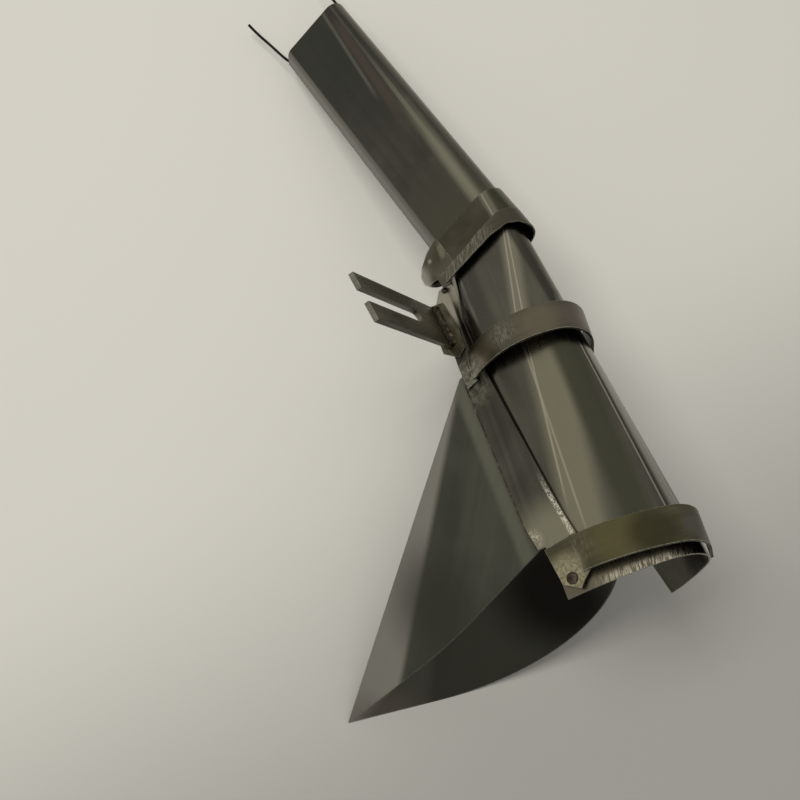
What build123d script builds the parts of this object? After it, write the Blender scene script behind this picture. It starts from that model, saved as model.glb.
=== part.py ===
"""Bag forming collar for a small vertical form-fill-seal machine: folded and welded sheet steel."""

import os
from math import cos, radians, sin, tan

from build123d import *

# ---- sheet and fits ------------------------------------------------------------------------------
sheet = 1.2                # trunk, shell and hood
plate = 2.0                # spine plate
doubler = 1.2              # plate under the bracket
band_wall = 1.5            # guide bands
seat = 0.1                 # gap between welded neighbours
snug = 0.3                 # sleeve round the trunk

# ---- trunk: a flattened tube along +Z, outlet at Z = 0 ---------------------------------------------
trunk_length = 218.0
web_width = 38.4
trunk_depth = 17.6         # outside, front web to back web
margin_slope = 52.0        # slope of the edge strips beside the seam
margin_bend = 7.0          # outer radius between margin and web
seam_slit = 0.2

# ---- shell: from the trunk's section to the rim -----------------------------------------------------
rim_shift = (51.5, -24.4, 221.4)   # from the trunk's left edge to the rim's left corner
rim_lean = 12.0
rim_pitch = 8.0
rim_heading = 175.7
rim_top = 55.7
rim_top_turns = (0.0, 4.0, 15.5)   # over the shares of margin, bend and web
rim_nose = 51.8
rim_nose_turn = 108.3
rim_leg = 39.8
rim_leg_turns = (13.0, 8.2, 0.0)   # over the shares of web, bend and margin

# ---- spine plate: stations along the shell's left edge -----------------------------------------------
spine_tilt = 8.0

# ---- hood ---------------------------------------------------------------------------------------------
hood_shift = (250.58, 38.84, 180.5)    # from the trunk's left edge to the hood's free corner
hood_tip_along = 75.3
hood_tip_side = 12.6
hood_mouth_along = 197.0
hood_mouth_side = 5.7
hood_drop = 0.7            # hood's outside below the underside of the spine plate
hood_pitch = 21.0          # of the mouth's plane

# ---- bracket ------------------------------------------------------------------------------------------
bracket_length = 117.0
bracket_width = 30.0
bracket_wall = 3.0
slot_width = 8.5
slot_web = 36.0            # from the root to the closed end of the slot
slot_off = 0.8
bracket_shift = (21.78, -8.56, 38.3)   # from the trunk's left edge to the bracket's root
bracket_along = Vector(-0.07, -0.99, 0.16)
bracket_face = Vector(0.99, -0.09, -0.14)


def turned(x, y, heading, length, turn):
    """End of a run of this length that turns clockwise by turn degrees."""
    half = radians(turn) / 2
    chord = length * sin(half) / half if turn else length
    toward = radians(heading) - half
    return x + chord * cos(toward), y + chord * sin(toward)


def draw_runs(start, heading, runs):
    """Tangent lines and arcs from (length, clockwise turn) pairs, in the current line builder."""
    point = start
    for length, turn in runs:
        end = turned(*point, heading, length, turn)
        if turn:
            way = (cos(radians(heading)), sin(radians(heading)))
            JernArc(start=point, tangent=way, radius=length / abs(radians(turn)), arc_size=-turn)
        else:
            Line(point, end)
        point = end
        heading -= turn
    return point


def shifted(start, heading, runs, inward):
    """The same outline moved toward its clockwise side."""
    side = radians(heading - 90)
    moved = (start[0] + inward * cos(side), start[1] + inward * sin(side))
    return moved, [(length - inward * radians(turn), turn) for length, turn in runs]


def sheet_section(plane, start, heading, runs, wall):
    """Closed section of a bent sheet whose outside follows the runs."""
    inner_start, inner_runs = shifted(start, heading, runs, wall)
    with BuildSketch(plane) as section:
        with BuildLine():
            outer_end = draw_runs(start, heading, runs)
            inner_end = draw_runs(inner_start, heading, inner_runs)
            Line(start, inner_start)
            Line(outer_end, inner_end)
        make_face()
    return section.sketch


# ---- trunk section --------------------------------------------------------------------------------------
slope = radians(margin_slope)
half_depth = trunk_depth / 2
seam_gap = sheet * cos(slope) + seam_slit / 2
bend_drop = margin_bend * (1 - cos(slope))
margin = (half_depth - seam_gap - bend_drop) / sin(slope)
bend = margin_bend * slope
half_round = half_depth * radians(180)
trunk_width = margin * cos(slope) + margin_bend * sin(slope) + web_width + half_depth
seam_x = trunk_width / 2
trunk_start = (seam_x, -seam_gap)
trunk_heading = 180 + margin_slope
trunk_runs = [
    (margin, 0),
    (bend, margin_slope),
    (web_width, 0),
    (half_round, 180),
    (web_width, 0),
    (bend, margin_slope),
    (margin, 0),
]

with BuildPart() as trunk_tube:
    extrude(sheet_section(Plane.XY, trunk_start, trunk_heading, trunk_runs, sheet), trunk_length)

# ---- shell ------------------------------------------------------------------------------------------------
trunk_top = Plane.XY.offset(trunk_length + seat)
edge_start = Vector(*trunk_start, trunk_length)
hood_toe = edge_start + Vector(*hood_shift)
bracket_root = edge_start + Vector(*bracket_shift)
rim_normal = Vector(tan(radians(rim_lean)), -tan(radians(rim_pitch)), 1)
rim_plane = Plane(
    origin=edge_start + Vector(*rim_shift),
    x_dir=Vector(1, 0, -tan(radians(rim_lean))),
    z_dir=rim_normal,
)
shares = [part / (margin + bend + web_width) for part in (margin, bend, web_width)]
rim_runs = [(rim_top * share, turn) for share, turn in zip(shares, rim_top_turns)]
rim_runs += [(rim_nose, rim_nose_turn)]
rim_runs += [(rim_leg * share, turn) for share, turn in zip(reversed(shares), rim_leg_turns)]

with BuildPart() as cone_shell:
    loft(
        [
            sheet_section(trunk_top, trunk_start, trunk_heading, trunk_runs, sheet),
            sheet_section(rim_plane, (0, 0), rim_heading, rim_runs, sheet),
        ],
        ruled=True,
    )

# ---- spine plate ------------------------------------------------------------------------------------------
spine_way = Vector(*rim_shift).normalized()
spine_across = Vector(cos(radians(spine_tilt)), -sin(radians(spine_tilt)), 0)
spine_out = spine_across.cross(spine_way).normalized()
spine_side = spine_way.cross(spine_out)
spine_root = edge_start + spine_out * (seat + plate)
spine_face = Plane(origin=spine_root, x_dir=spine_side, z_dir=spine_out)


def station(along, lift=0):
    """Plane across the spine, x toward the hood and y into the collar, from the plate's outer face."""
    origin = spine_root + spine_way * along + spine_out * lift
    return Plane(origin=origin, x_dir=spine_side, z_dir=spine_way)


# stations of the plate: along, left side, start of the fold, right side, fold of the right wing
spine_stations = [
    (17.4, 8.0, 4.0, -9.4, 47.0),
    (26.5, 13.2, 3.8, -6.8, 45.0),
    (43.0, 13.2, 3.2, -1.0, 40.0),
    (85.0, 12.6, 2.8, -3.7, 32.0),
    (128.0, 10.6, 2.8, -9.4, 24.5),
    (184.0, 8.3, 2.8, -16.0, 11.0),
    (197.5, 5.6, 2.8, -18.6, 8.0),
]
spine_fold_run = 2.0
foot_left = -0.6           # the plate's foot goes on under the lower band's tab
foot_right = -20.2
foot_end = 219.0


def spine_section(along, left, fold_at, right, fold):
    runs = [(left - fold_at, 0), (spine_fold_run, -fold), (fold_at - spine_fold_run - right, 0)]
    return sheet_section(station(along), (left, 0), 180, runs, plate)


foot_along, _, foot_fold_at, _, foot_lean = spine_stations[-1]
foot_way = spine_side * cos(radians(foot_lean)) - spine_out * sin(radians(foot_lean))
foot_out = spine_out * cos(radians(foot_lean)) + spine_side * sin(radians(foot_lean))
foot_face = Plane(
    origin=spine_root + spine_side * (foot_fold_at - spine_fold_run / 2), x_dir=foot_way, z_dir=foot_out
)

with BuildPart() as spine_plate:
    loft([spine_section(*place) for place in spine_stations], ruled=True)
    with BuildSketch(foot_face) as foot_outline:
        with BuildLine():
            Polyline(
                (foot_left, foot_along - 1),
                (foot_right, foot_along - 1),
                (foot_right, foot_end),
                (foot_left - 2.6, foot_end),
                close=True,
            )
        make_face()
    extrude(amount=-plate)

# ---- doubler ------------------------------------------------------------------------------------------------
doubler_corners = [(18.6, 25.0), (8.0, 27.0), (3.8, 47.5), (4.4, 62.9), (9.8, 67.6), (18.6, 60.0)]

with BuildPart() as doubler_plate:
    with BuildSketch(spine_face) as doubler_outline:
        with BuildLine():
            Polyline(*doubler_corners, close=True)
        make_face()
    extrude(amount=doubler)

# ---- bracket --------------------------------------------------------------------------------------------------
bracket_plane = Plane(origin=bracket_root, x_dir=bracket_along, z_dir=bracket_face)
root_spare = 12.0
fillet_near = 3.2
fillet_far = 1.7
bevel_depth = 0.8          # weld bevel, so that the near face stays flat beyond the fillet
bevel_spare = 0.4
doubler_top = Plane(origin=spine_root + spine_out * doubler, x_dir=spine_side, z_dir=spine_out)

face_way = Vector(*bracket_face).normalized()
long_way = Vector(*bracket_along).normalized()
root_lift = (doubler_top.origin - bracket_root).dot(spine_out) / long_way.dot(spine_out)
root_point = bracket_root + long_way * root_lift
root_line = spine_out.cross(face_way).normalized()
bevel_reach = fillet_near + bevel_spare

with BuildPart() as slotted_bracket:
    with BuildSketch(bracket_plane) as bracket_outline:
        with BuildLine():
            Polyline(
                (-root_spare, -bracket_width / 2),
                (bracket_length, -bracket_width / 2),
                (bracket_length, bracket_width / 2),
                (-root_spare, bracket_width / 2),
                close=True,
            )
        make_face()
        slot_reach = bracket_length - slot_web + slot_width
        with Locations((slot_web + slot_reach / 2, slot_off)):
            SlotOverall(slot_reach, slot_width, mode=Mode.SUBTRACT)
    extrude(amount=bracket_wall)
    split(bisect_by=doubler_top, keep=Keep.TOP)
    bevel_plane = Plane(origin=root_point - root_line * bracket_width, x_dir=face_way, z_dir=root_line)
    bevel_up = bevel_reach if bevel_plane.y_dir.dot(spine_out) > 0 else -bevel_reach
    with BuildSketch(bevel_plane) as bevel_outline:
        with BuildLine():
            Polyline(
                (-bevel_depth, bevel_up * 1.5),
                (0, bevel_up),
                (bevel_depth, -bevel_up / 2),
                (-bevel_depth, -bevel_up / 2),
                close=True,
            )
        make_face()
    extrude(amount=bracket_width * 2, mode=Mode.SUBTRACT)

# ---- guide bands -------------------------------------------------------------------------------------------------
band_tilt = 12.0
middle_along = 66.5
middle_width = 21.0
middle_start = (4.7, -0.4)
middle_runs = [(0.8, 0), (2.6, -34.5), (60.4, 60.3), (32.9, 88.6), (18.1, 0)]
middle_tab = [(4.0, 67.4), (12.6, 73.5), (11.4, 89.6), (4.0, 87.0)]


def tilted_station(base, along, lift):
    """Plane across a band: its back stands further along than its front."""
    origin = base.origin + spine_way * along + base.z_dir * lift
    return Plane(origin=origin, x_dir=base.x_dir, z_dir=spine_way).rotated((band_tilt, 0, 0))


with BuildPart() as collar_band_middle:
    hoop = sheet_section(
        tilted_station(spine_face, middle_along, band_wall), middle_start, 180, middle_runs, band_wall
    )
    extrude(hoop, middle_width)
    with BuildSketch(spine_face) as middle_tab_outline:
        with BuildLine():
            Polyline(*middle_tab, close=True)
        make_face()
    extrude(amount=band_wall)

lower_along = 199.1
lower_width = 22.0
lower_start = (-19.0, 0)
lower_runs = [(1.0, 0), (2.4, 8.0), (50.6, 27.2), (25.2, 77.2), (12.0, 0)]
lower_tab = [(-0.1, 199.6), (-20.3, 198.0), (-21.3, 219.5), (-15.6, 223.9), (-12.4, 227.1), (-3.2, 221.2)]
with BuildPart() as collar_band_lower:
    hoop = sheet_section(
        tilted_station(foot_face, lower_along, band_wall), lower_start, 180, lower_runs, band_wall
    )
    extrude(hoop, lower_width)
    with BuildSketch(foot_face) as lower_tab_outline:
        with BuildLine():
            Polyline(*lower_tab, close=True)
        make_face()
    extrude(amount=band_wall)

# ---- upper band: sleeve and flared lip ---------------------------------------------------------------------------
sleeve_lean = 5.5          # the sleeve sits askew, lower on the seam side
# sleeve: (height from the trunk's end, flare, reach past the web toward the seam)
sleeve_stations = [
    (-12.0, 0.0, 0.0),
    (-2.5, 0.0, 0.0),
    (7.5, 1.5, 0.0),
    (7.9, 2.9, 0.0),
    (8.3, 2.9, 6.0),
    (18.6, 5.0, 12.0),
]


def sleeve_plane(rise):
    lean = radians(sleeve_lean)
    return Plane(
        origin=(0, 0, trunk_length + rise), x_dir=(cos(lean), 0, sin(lean)), z_dir=(-sin(lean), 0, cos(lean))
    )


def sleeve_section(rise, flare, reach):
    start, runs = shifted(trunk_start, trunk_heading, trunk_runs, -(snug + band_wall + flare))
    bend_start = turned(*start, trunk_heading, *runs[0])
    web_start = turned(*bend_start, trunk_heading, *runs[1])
    web_run = (runs[2][0] + reach, 0)
    lip_start = (web_start[0] + reach, web_start[1])
    return sheet_section(sleeve_plane(rise), lip_start, 180, [web_run, *runs[3:5]], band_wall)


with BuildPart() as collar_band_upper:
    loft([sleeve_section(*place) for place in sleeve_stations], ruled=True)

# ear: (height from the trunk's end, flare, straight, radius, turn, end)
ear_stations = [
    (-12.0, 0.0, 0.6, 8.6, 52.0, 6.0),
    (-8.4, 0.0, 6.0, 9.5, 85.0, 5.0),
    (-4.4, 0.2, 10.2, 10.3, 108.0, 4.0),
    (0.0, 0.5, 11.4, 10.8, 115.0, 4.0),
    (6.0, 1.0, 10.6, 10.4, 105.0, 3.0),
    (12.2, 1.4, 6.9, 9.3, 90.0, 1.5),
]
ear_gap = 0.2
trunk_web_end = seam_x - margin * cos(slope) - margin_bend * sin(slope)


def ear_section(rise, flare, reach, radius, turn, last):
    start = (trunk_web_end + ear_gap, -half_depth - snug - band_wall - flare)
    runs = [(reach, 0), (radius * radians(turn), -turn), (last, 0)]
    return sheet_section(sleeve_plane(rise), start, 0, runs, -band_wall)


with BuildPart() as band_ear:
    loft([ear_section(*place) for place in ear_stations], ruled=True)

# ---- hood -----------------------------------------------------------------------------------------------------------
hood_depth = plate + hood_drop
hood_apex = spine_root + spine_side * hood_tip_side + spine_way * hood_tip_along - spine_out * hood_depth
hood_corner = spine_root + spine_side * hood_mouth_side + spine_way * hood_mouth_along - spine_out * hood_depth
mouth_way = (hood_corner - hood_toe).normalized()
mouth_normal = Vector(0, -tan(radians(hood_pitch)), 1)
mouth_normal = (mouth_normal - mouth_way * mouth_normal.dot(mouth_way)).normalized()
mouth_span = (hood_corner - hood_toe).length
front_bow = 11.0
front_bend = 62.0
front_straight = (mouth_span - front_bend) / 2
back_heading = -51.4
back_runs = [(59.5, 0), (179.5, 84.9), (62.5, 74.4)]


def hood_section(scale, wall):
    """Folded sheet at this share of the way from the tip to the mouth."""
    origin = hood_apex + (hood_toe - hood_apex) * scale
    heading = -front_bow / 2
    half = radians(heading - back_heading) / 2
    trim = wall / tan(half)
    front = [(front_straight * scale, 0), (front_bend * scale, -front_bow), (front_straight * scale, 0)]
    back = [(length * scale, -turn) for length, turn in back_runs]
    spot = (trim * cos(radians(heading)) + wall * sin(radians(heading)),
            trim * sin(radians(heading)) - wall * cos(radians(heading)))
    inside_front = [(front[0][0] - trim, 0)]
    inside_front += [(length - wall * radians(turn), turn) for length, turn in front[1:]]
    inside_back = [(back[0][0] - trim, 0)]
    inside_back += [(length + wall * radians(turn), turn) for length, turn in back[1:]]
    with BuildSketch(Plane(origin=origin, x_dir=mouth_way, z_dir=mouth_normal)) as section:
        with BuildLine():
            front_end = draw_runs((0, 0), heading, front)
            front_inner = draw_runs(spot, heading, inside_front)
            Line(front_end, front_inner)
            back_end = draw_runs((0, 0), back_heading, back)
            back_inner = draw_runs(spot, back_heading, inside_back)
            Line(back_end, back_inner)
        make_face()
    return section.sketch


hood_stations = [(1.0, sheet), (0.14, sheet), (0.02, 0.25)]

with BuildPart() as hood:
    loft([hood_section(*place) for place in hood_stations], ruled=True)

# ---- spreader rods ---------------------------------------------------------------------------------------------------
rod_size = 2.0
rod_reach = 45.0
rod_inside = 30.0
rod_radius = rod_size / 2
rod_left_x = seam_x - sheet / sin(slope) - (rod_radius + seat) / sin(slope)
rod_right_x = seam_x - trunk_width + sheet + rod_radius + seat

with BuildPart() as spreader_rod_left:
    with BuildSketch(Plane.XY.offset(-rod_reach)):
        with Locations((rod_left_x, 0)):
            Circle(rod_radius)
    extrude(amount=rod_reach + rod_inside)

with BuildPart() as spreader_rod_right:
    with BuildSketch(Plane.XY.offset(-rod_reach)):
        with Locations((rod_right_x, 0)):
            Circle(rod_radius)
    extrude(amount=rod_reach + rod_inside)

# ---- welds --------------------------------------------------------------------------------------------------------------
seam_bulge = 0.35
seam_length = trunk_length - 12.0

with BuildPart() as trunk_seam_weld:
    with BuildSketch(Plane.XY) as groove:
        with BuildLine():
            deep = seam_x - sheet * sin(slope)
            ThreePointArc((seam_x, -seam_gap), (seam_x + seam_bulge, 0), (seam_x, seam_gap))
            Polyline((seam_x, seam_gap), (deep, seam_slit / 2), (deep, -seam_slit / 2), (seam_x, -seam_gap))
        make_face()
    extrude(amount=seam_length)

def root_fillet(side, leg, offset):
    """Blank of a fillet beside the bracket's root, before the neighbours are cut out of it."""
    origin = root_point + face_way * offset - root_line * bracket_width / 2
    section_plane = Plane(origin=origin, x_dir=face_way * side, z_dir=root_line * side * -1)
    up = section_plane.y_dir.dot(spine_out)
    with BuildSketch(section_plane) as section:
        with BuildLine():
            Polyline(
                (-1, -up),
                (leg, -up),
                (leg, 0),
                (leg / 2, up * leg / 2.4),
                (0, up * leg),
                (-1, up * leg),
                close=True,
            )
        make_face()
    return section.sketch


with BuildPart() as bracket_weld_near:
    extrude(root_fillet(-1, fillet_near, 0), bracket_width, dir=root_line)
    add(slotted_bracket.part, mode=Mode.SUBTRACT)
    add(doubler_plate.part, mode=Mode.SUBTRACT)

with BuildPart() as bracket_weld_far:
    extrude(root_fillet(1, fillet_far, bracket_wall), bracket_width, dir=root_line)
    add(slotted_bracket.part, mode=Mode.SUBTRACT)
    add(doubler_plate.part, mode=Mode.SUBTRACT)

hood_bead = 1.3
bead_places = [(spine_side * left + spine_way * along) for along, left, *_ in spine_stations[3:]]
bead_points = [spine_root + place - spine_out * plate for place in bead_places]

with BuildPart() as hood_seam_weld:
    with BuildLine() as bead_path:
        Polyline(*bead_points)
    with BuildSketch(Plane(origin=bead_points[0], z_dir=bead_points[1] - bead_points[0])):
        Circle(hood_bead)
    sweep(transition=Transition.ROUND)
    add(spine_plate.part, mode=Mode.SUBTRACT)
    add(hood.part, mode=Mode.SUBTRACT)

spot_size = 6.8
spot_height = 0.7
spot_place = (-9.7, 220.2)
spot_plane = Plane(
    origin=foot_face.origin + foot_way * spot_place[0] + spine_way * spot_place[1] + foot_out * band_wall,
    x_dir=foot_way,
    z_dir=foot_out,
)

with BuildPart() as rim_spot_weld:
    with BuildSketch(spot_plane):
        Circle(spot_size / 2)
    extrude(amount=spot_height)
    top_edge = rim_spot_weld.edges().sort_by(lambda edge: edge.center().dot(foot_out))[-1]
    fillet(top_edge, spot_height * 0.8)

tab_bead = 1.2
tab_ends = [(10.6, 89.0), (5.0, 84.7)]
tab_points = [spine_root + spine_side * x + spine_way * along for x, along in tab_ends]

with BuildPart() as tab_weld_middle:
    with BuildLine():
        Line(*tab_points)
    with BuildSketch(Plane(origin=tab_points[0], z_dir=tab_points[1] - tab_points[0])):
        Circle(tab_bead)
    sweep()
    add(spine_plate.part, mode=Mode.SUBTRACT)
    add(collar_band_middle.part, mode=Mode.SUBTRACT)

ear_blob = 2.0
ear_place = (4.5, 19.0)

with BuildPart() as ear_weld:
    with Locations(spine_root + spine_side * ear_place[0] + spine_way * ear_place[1]):
        Sphere(ear_blob)
    split(bisect_by=spine_face, keep=Keep.TOP)
    add(spine_plate.part, mode=Mode.SUBTRACT)
    add(band_ear.part, mode=Mode.SUBTRACT)

os.makedirs("parts", exist_ok=True)
pieces = {
    "trunk_tube": trunk_tube, "cone_shell": cone_shell, "spine_plate": spine_plate,
    "doubler_plate": doubler_plate, "slotted_bracket": slotted_bracket,
    "collar_band_middle": collar_band_middle, "collar_band_lower": collar_band_lower,
    "collar_band_upper": collar_band_upper, "band_ear": band_ear, "hood": hood,
    "spreader_rod_left": spreader_rod_left, "spreader_rod_right": spreader_rod_right,
    "trunk_seam_weld": trunk_seam_weld, "bracket_weld_near": bracket_weld_near,
    "bracket_weld_far": bracket_weld_far, "hood_seam_weld": hood_seam_weld,
    "rim_spot_weld": rim_spot_weld, "tab_weld_middle": tab_weld_middle, "ear_weld": ear_weld,
}
for name, piece in pieces.items():
    piece.part.label = name
    export_step(piece.part, f"parts/{name}.step")
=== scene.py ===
import math

import bpy
import bmesh
from mathutils import Matrix, Vector


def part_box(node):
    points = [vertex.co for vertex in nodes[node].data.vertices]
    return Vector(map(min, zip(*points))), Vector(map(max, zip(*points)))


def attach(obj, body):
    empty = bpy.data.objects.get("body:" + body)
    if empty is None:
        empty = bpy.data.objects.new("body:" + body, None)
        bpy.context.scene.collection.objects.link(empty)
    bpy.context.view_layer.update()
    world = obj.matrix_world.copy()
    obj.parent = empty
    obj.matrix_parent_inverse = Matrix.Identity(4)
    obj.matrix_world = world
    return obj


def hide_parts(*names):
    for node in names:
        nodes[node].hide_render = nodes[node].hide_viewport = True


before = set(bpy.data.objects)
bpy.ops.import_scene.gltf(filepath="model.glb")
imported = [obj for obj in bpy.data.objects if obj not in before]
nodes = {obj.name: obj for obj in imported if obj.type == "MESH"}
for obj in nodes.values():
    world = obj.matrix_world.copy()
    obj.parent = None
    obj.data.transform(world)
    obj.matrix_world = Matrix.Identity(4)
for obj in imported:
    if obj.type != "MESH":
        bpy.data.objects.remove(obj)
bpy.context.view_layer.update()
mm = 0.001
print("frame loaded:", len(nodes), "nodes")

# the spine is the welded left edge of the folded shell, and the bands hang on it
spineWay = Vector((51.5, -24.4, 221.4)).normalized()
trunkWay = Vector((0, 0, 1))
bracketWay = Vector((-0.07, -0.99, 0.16)).normalized()
rimNormal = Vector((0.206, -0.136, 0.969))
front = (0, -1, 0)  # the way out of the trunk's front web


def addNode(tree, kind, **values):
    made = tree.nodes.new(kind)
    for key, value in values.items():
        setattr(made, key, value)
    return made


def emptyTree(owner):
    owner.use_nodes = True
    owner.node_tree.nodes.clear()
    return owner.node_tree


def addObject(name, data):
    made = bpy.data.objects.new(name, data)
    bpy.context.scene.collection.objects.link(made)
    return made


def plug(tree, value, socket):
    # a value is another node's output, or plain numbers
    if hasattr(value, "is_output"):
        tree.links.new(value, socket)
    else:
        socket.default_value = value


def calc(tree, op, a, b=0.0, c=0.0, clamp=False):
    made = addNode(tree, "ShaderNodeMath", operation=op, use_clamp=clamp)
    for i, value in enumerate((a, b, c)):
        plug(tree, value, made.inputs[i])
    return made.outputs[0]


def product(tree, a, b):
    return calc(tree, "MULTIPLY", a, b)


def along(tree, place, way):
    made = addNode(tree, "ShaderNodeVectorMath", operation="DOT_PRODUCT")
    plug(tree, place, made.inputs[0])
    made.inputs[1].default_value = way
    return made.outputs["Value"]


def ease(tree, value, low, high, toLow=0.0, toHigh=1.0):
    made = addNode(tree, "ShaderNodeMapRange", interpolation_type="SMOOTHSTEP")
    plug(tree, value, made.inputs["Value"])
    made.inputs["From Min"].default_value = low
    made.inputs["From Max"].default_value = high
    made.inputs["To Min"].default_value = toLow
    made.inputs["To Max"].default_value = toHigh
    return made.outputs["Result"]


def blendColour(tree, share, a, b):
    made = addNode(tree, "ShaderNodeMix", data_type="RGBA", clamp_factor=True)
    plug(tree, share, made.inputs[0])
    plug(tree, a, made.inputs[6])
    plug(tree, b, made.inputs[7])
    return made.outputs[2]


def grainPlace(tree, way, lengthwise, across):
    # squeezes space along one direction, so noise turns into strokes
    place = addNode(tree, "ShaderNodeTexCoord").outputs["Object"]
    side = way.orthogonal().normalized()
    made = addNode(tree, "ShaderNodeCombineXYZ")
    squeezes = [(side, across), (way.cross(side), across), (way, lengthwise)]
    for i, (axis, times) in enumerate(squeezes):
        tree.links.new(product(tree, along(tree, place, axis), times), made.inputs[i])
    return made.outputs[0]


def noise(tree, place, scale, detail=4.0, rough=0.55, warp=0.0):
    made = addNode(tree, "ShaderNodeTexNoise")
    plug(tree, place, made.inputs["Vector"])
    made.inputs["Scale"].default_value = scale
    made.inputs["Detail"].default_value = detail
    made.inputs["Roughness"].default_value = rough
    made.inputs["Distortion"].default_value = warp
    return made.outputs["Fac"]


# one maker for every sheet and bar; each piece's own dictionary says how it differs
steelCommon = {
    "dark": (0.040, 0.038, 0.033),
    "mid": (0.085, 0.080, 0.068),
    "light": (0.17, 0.16, 0.135),
    "ramp": (0.05, 0.5, 1.0),  # where the three colours stand
    "grain": trunkWay,  # the polish lines' way, and how fast they change along and across it
    "lengthwise": 6.0,
    "across": 320.0,
    "strokeSpread": (0.3, 0.7),
    "strokeShare": 0.45,
    "clouds": 28.0,
    "cloudSpread": (0.32, 0.68),
    "cloudShare": 0.5,
    "fineTimes": 4.2,  # the finest lines are this much closer
    "rough": (0.26, 0.42),
    "bump": 0.10,
    "bumpDepth": 0.2 * mm,
    "edge": 0.35 * mm,
    "edgeColour": (0.42, 0.40, 0.35),
    "edgeShare": 0.6,
    "edgeSpread": (0.80, 0.995),
    "edgeSpeckle": 420.0,
    "speckleSpread": (0.35, 0.6),
    "speckleLeast": 0.35,
    # painted shade where the metal is shut in: how far to look, how much, and its colour
    "hollow": 12 * mm,
    "hollowShare": 0.55,
    "hollowSpread": (0.05, 0.75),
    "shutInShade": (0.006, 0.005, 0.004),
    "marks": [],
}
rayCount = 6  # for the rounded edges and the shade


# marks on the steel: a soft line through a and b, all that lies beyond that line, or a round patch;
# places and widths are in millimetres, and within keeps a mark between two heights along a way
def streak(**values):
    return {"kind": "streak", **values}


def beyond(**values):
    return {"kind": "beyond", **values}


def patch(**values):
    return {"kind": "patch", **values}


def fadeOut(tree, away, mark):
    return ease(tree, away, mark["half"] * mm, (mark["half"] + mark["soft"]) * mm, 1.0, 0.0)


def markMask(tree, place, mark):
    if mark["kind"] == "patch":
        gap = addNode(tree, "ShaderNodeVectorMath", operation="DISTANCE")
        plug(tree, place, gap.inputs[0])
        gap.inputs[1].default_value = Vector(mark["a"]) * mm
        mask = fadeOut(tree, gap.outputs["Value"], mark)
    else:
        a, b = Vector(mark["a"]) * mm, Vector(mark["b"]) * mm
        across = (b - a).cross(Vector(mark["out"])).normalized()
        away = calc(tree, "SUBTRACT", along(tree, place, across), a.dot(across))
        if mark["kind"] == "streak":
            mask = fadeOut(tree, calc(tree, "ABSOLUTE", away), mark)
        else:
            mask = ease(tree, away, -mark["soft"] * mm, mark["soft"] * mm)
    for way, low, high, soft in mark.get("within", []):
        level = along(tree, place, way)
        rise = ease(tree, level, (low - soft) * mm, (low + soft) * mm)
        fall = ease(tree, level, (high - soft) * mm, (high + soft) * mm, 1.0, 0.0)
        mask = product(tree, mask, product(tree, rise, fall))
    return mask


raggedSpread = (0.42, 0.62)
brokenSpread = (0.42, 0.58)


def addMarks(tree, place, marks, colour, rough):
    for mark in marks:
        mask = markMask(tree, place, mark)
        if "strokes" in mark:
            ragged = noise(tree, grainPlace(tree, *mark["strokes"]), 1.0, rough=0.65)
            mask = product(tree, mask, ease(tree, ragged, *raggedSpread))
        if "broken" in mark:
            speckle = noise(tree, place, mark["broken"], detail=5.0, rough=0.7)
            mask = product(tree, mask, ease(tree, speckle, *brokenSpread))
        mask = product(tree, mask, mark["share"])
        colour = blendColour(tree, mask, colour, (*mark["colour"], 1))
        if "rough" in mark:
            kept = product(tree, rough, calc(tree, "SUBTRACT", 1.0, mask))
            rough = calc(tree, "ADD", kept, product(tree, mask, mark["rough"]))
    return colour, rough


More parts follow.
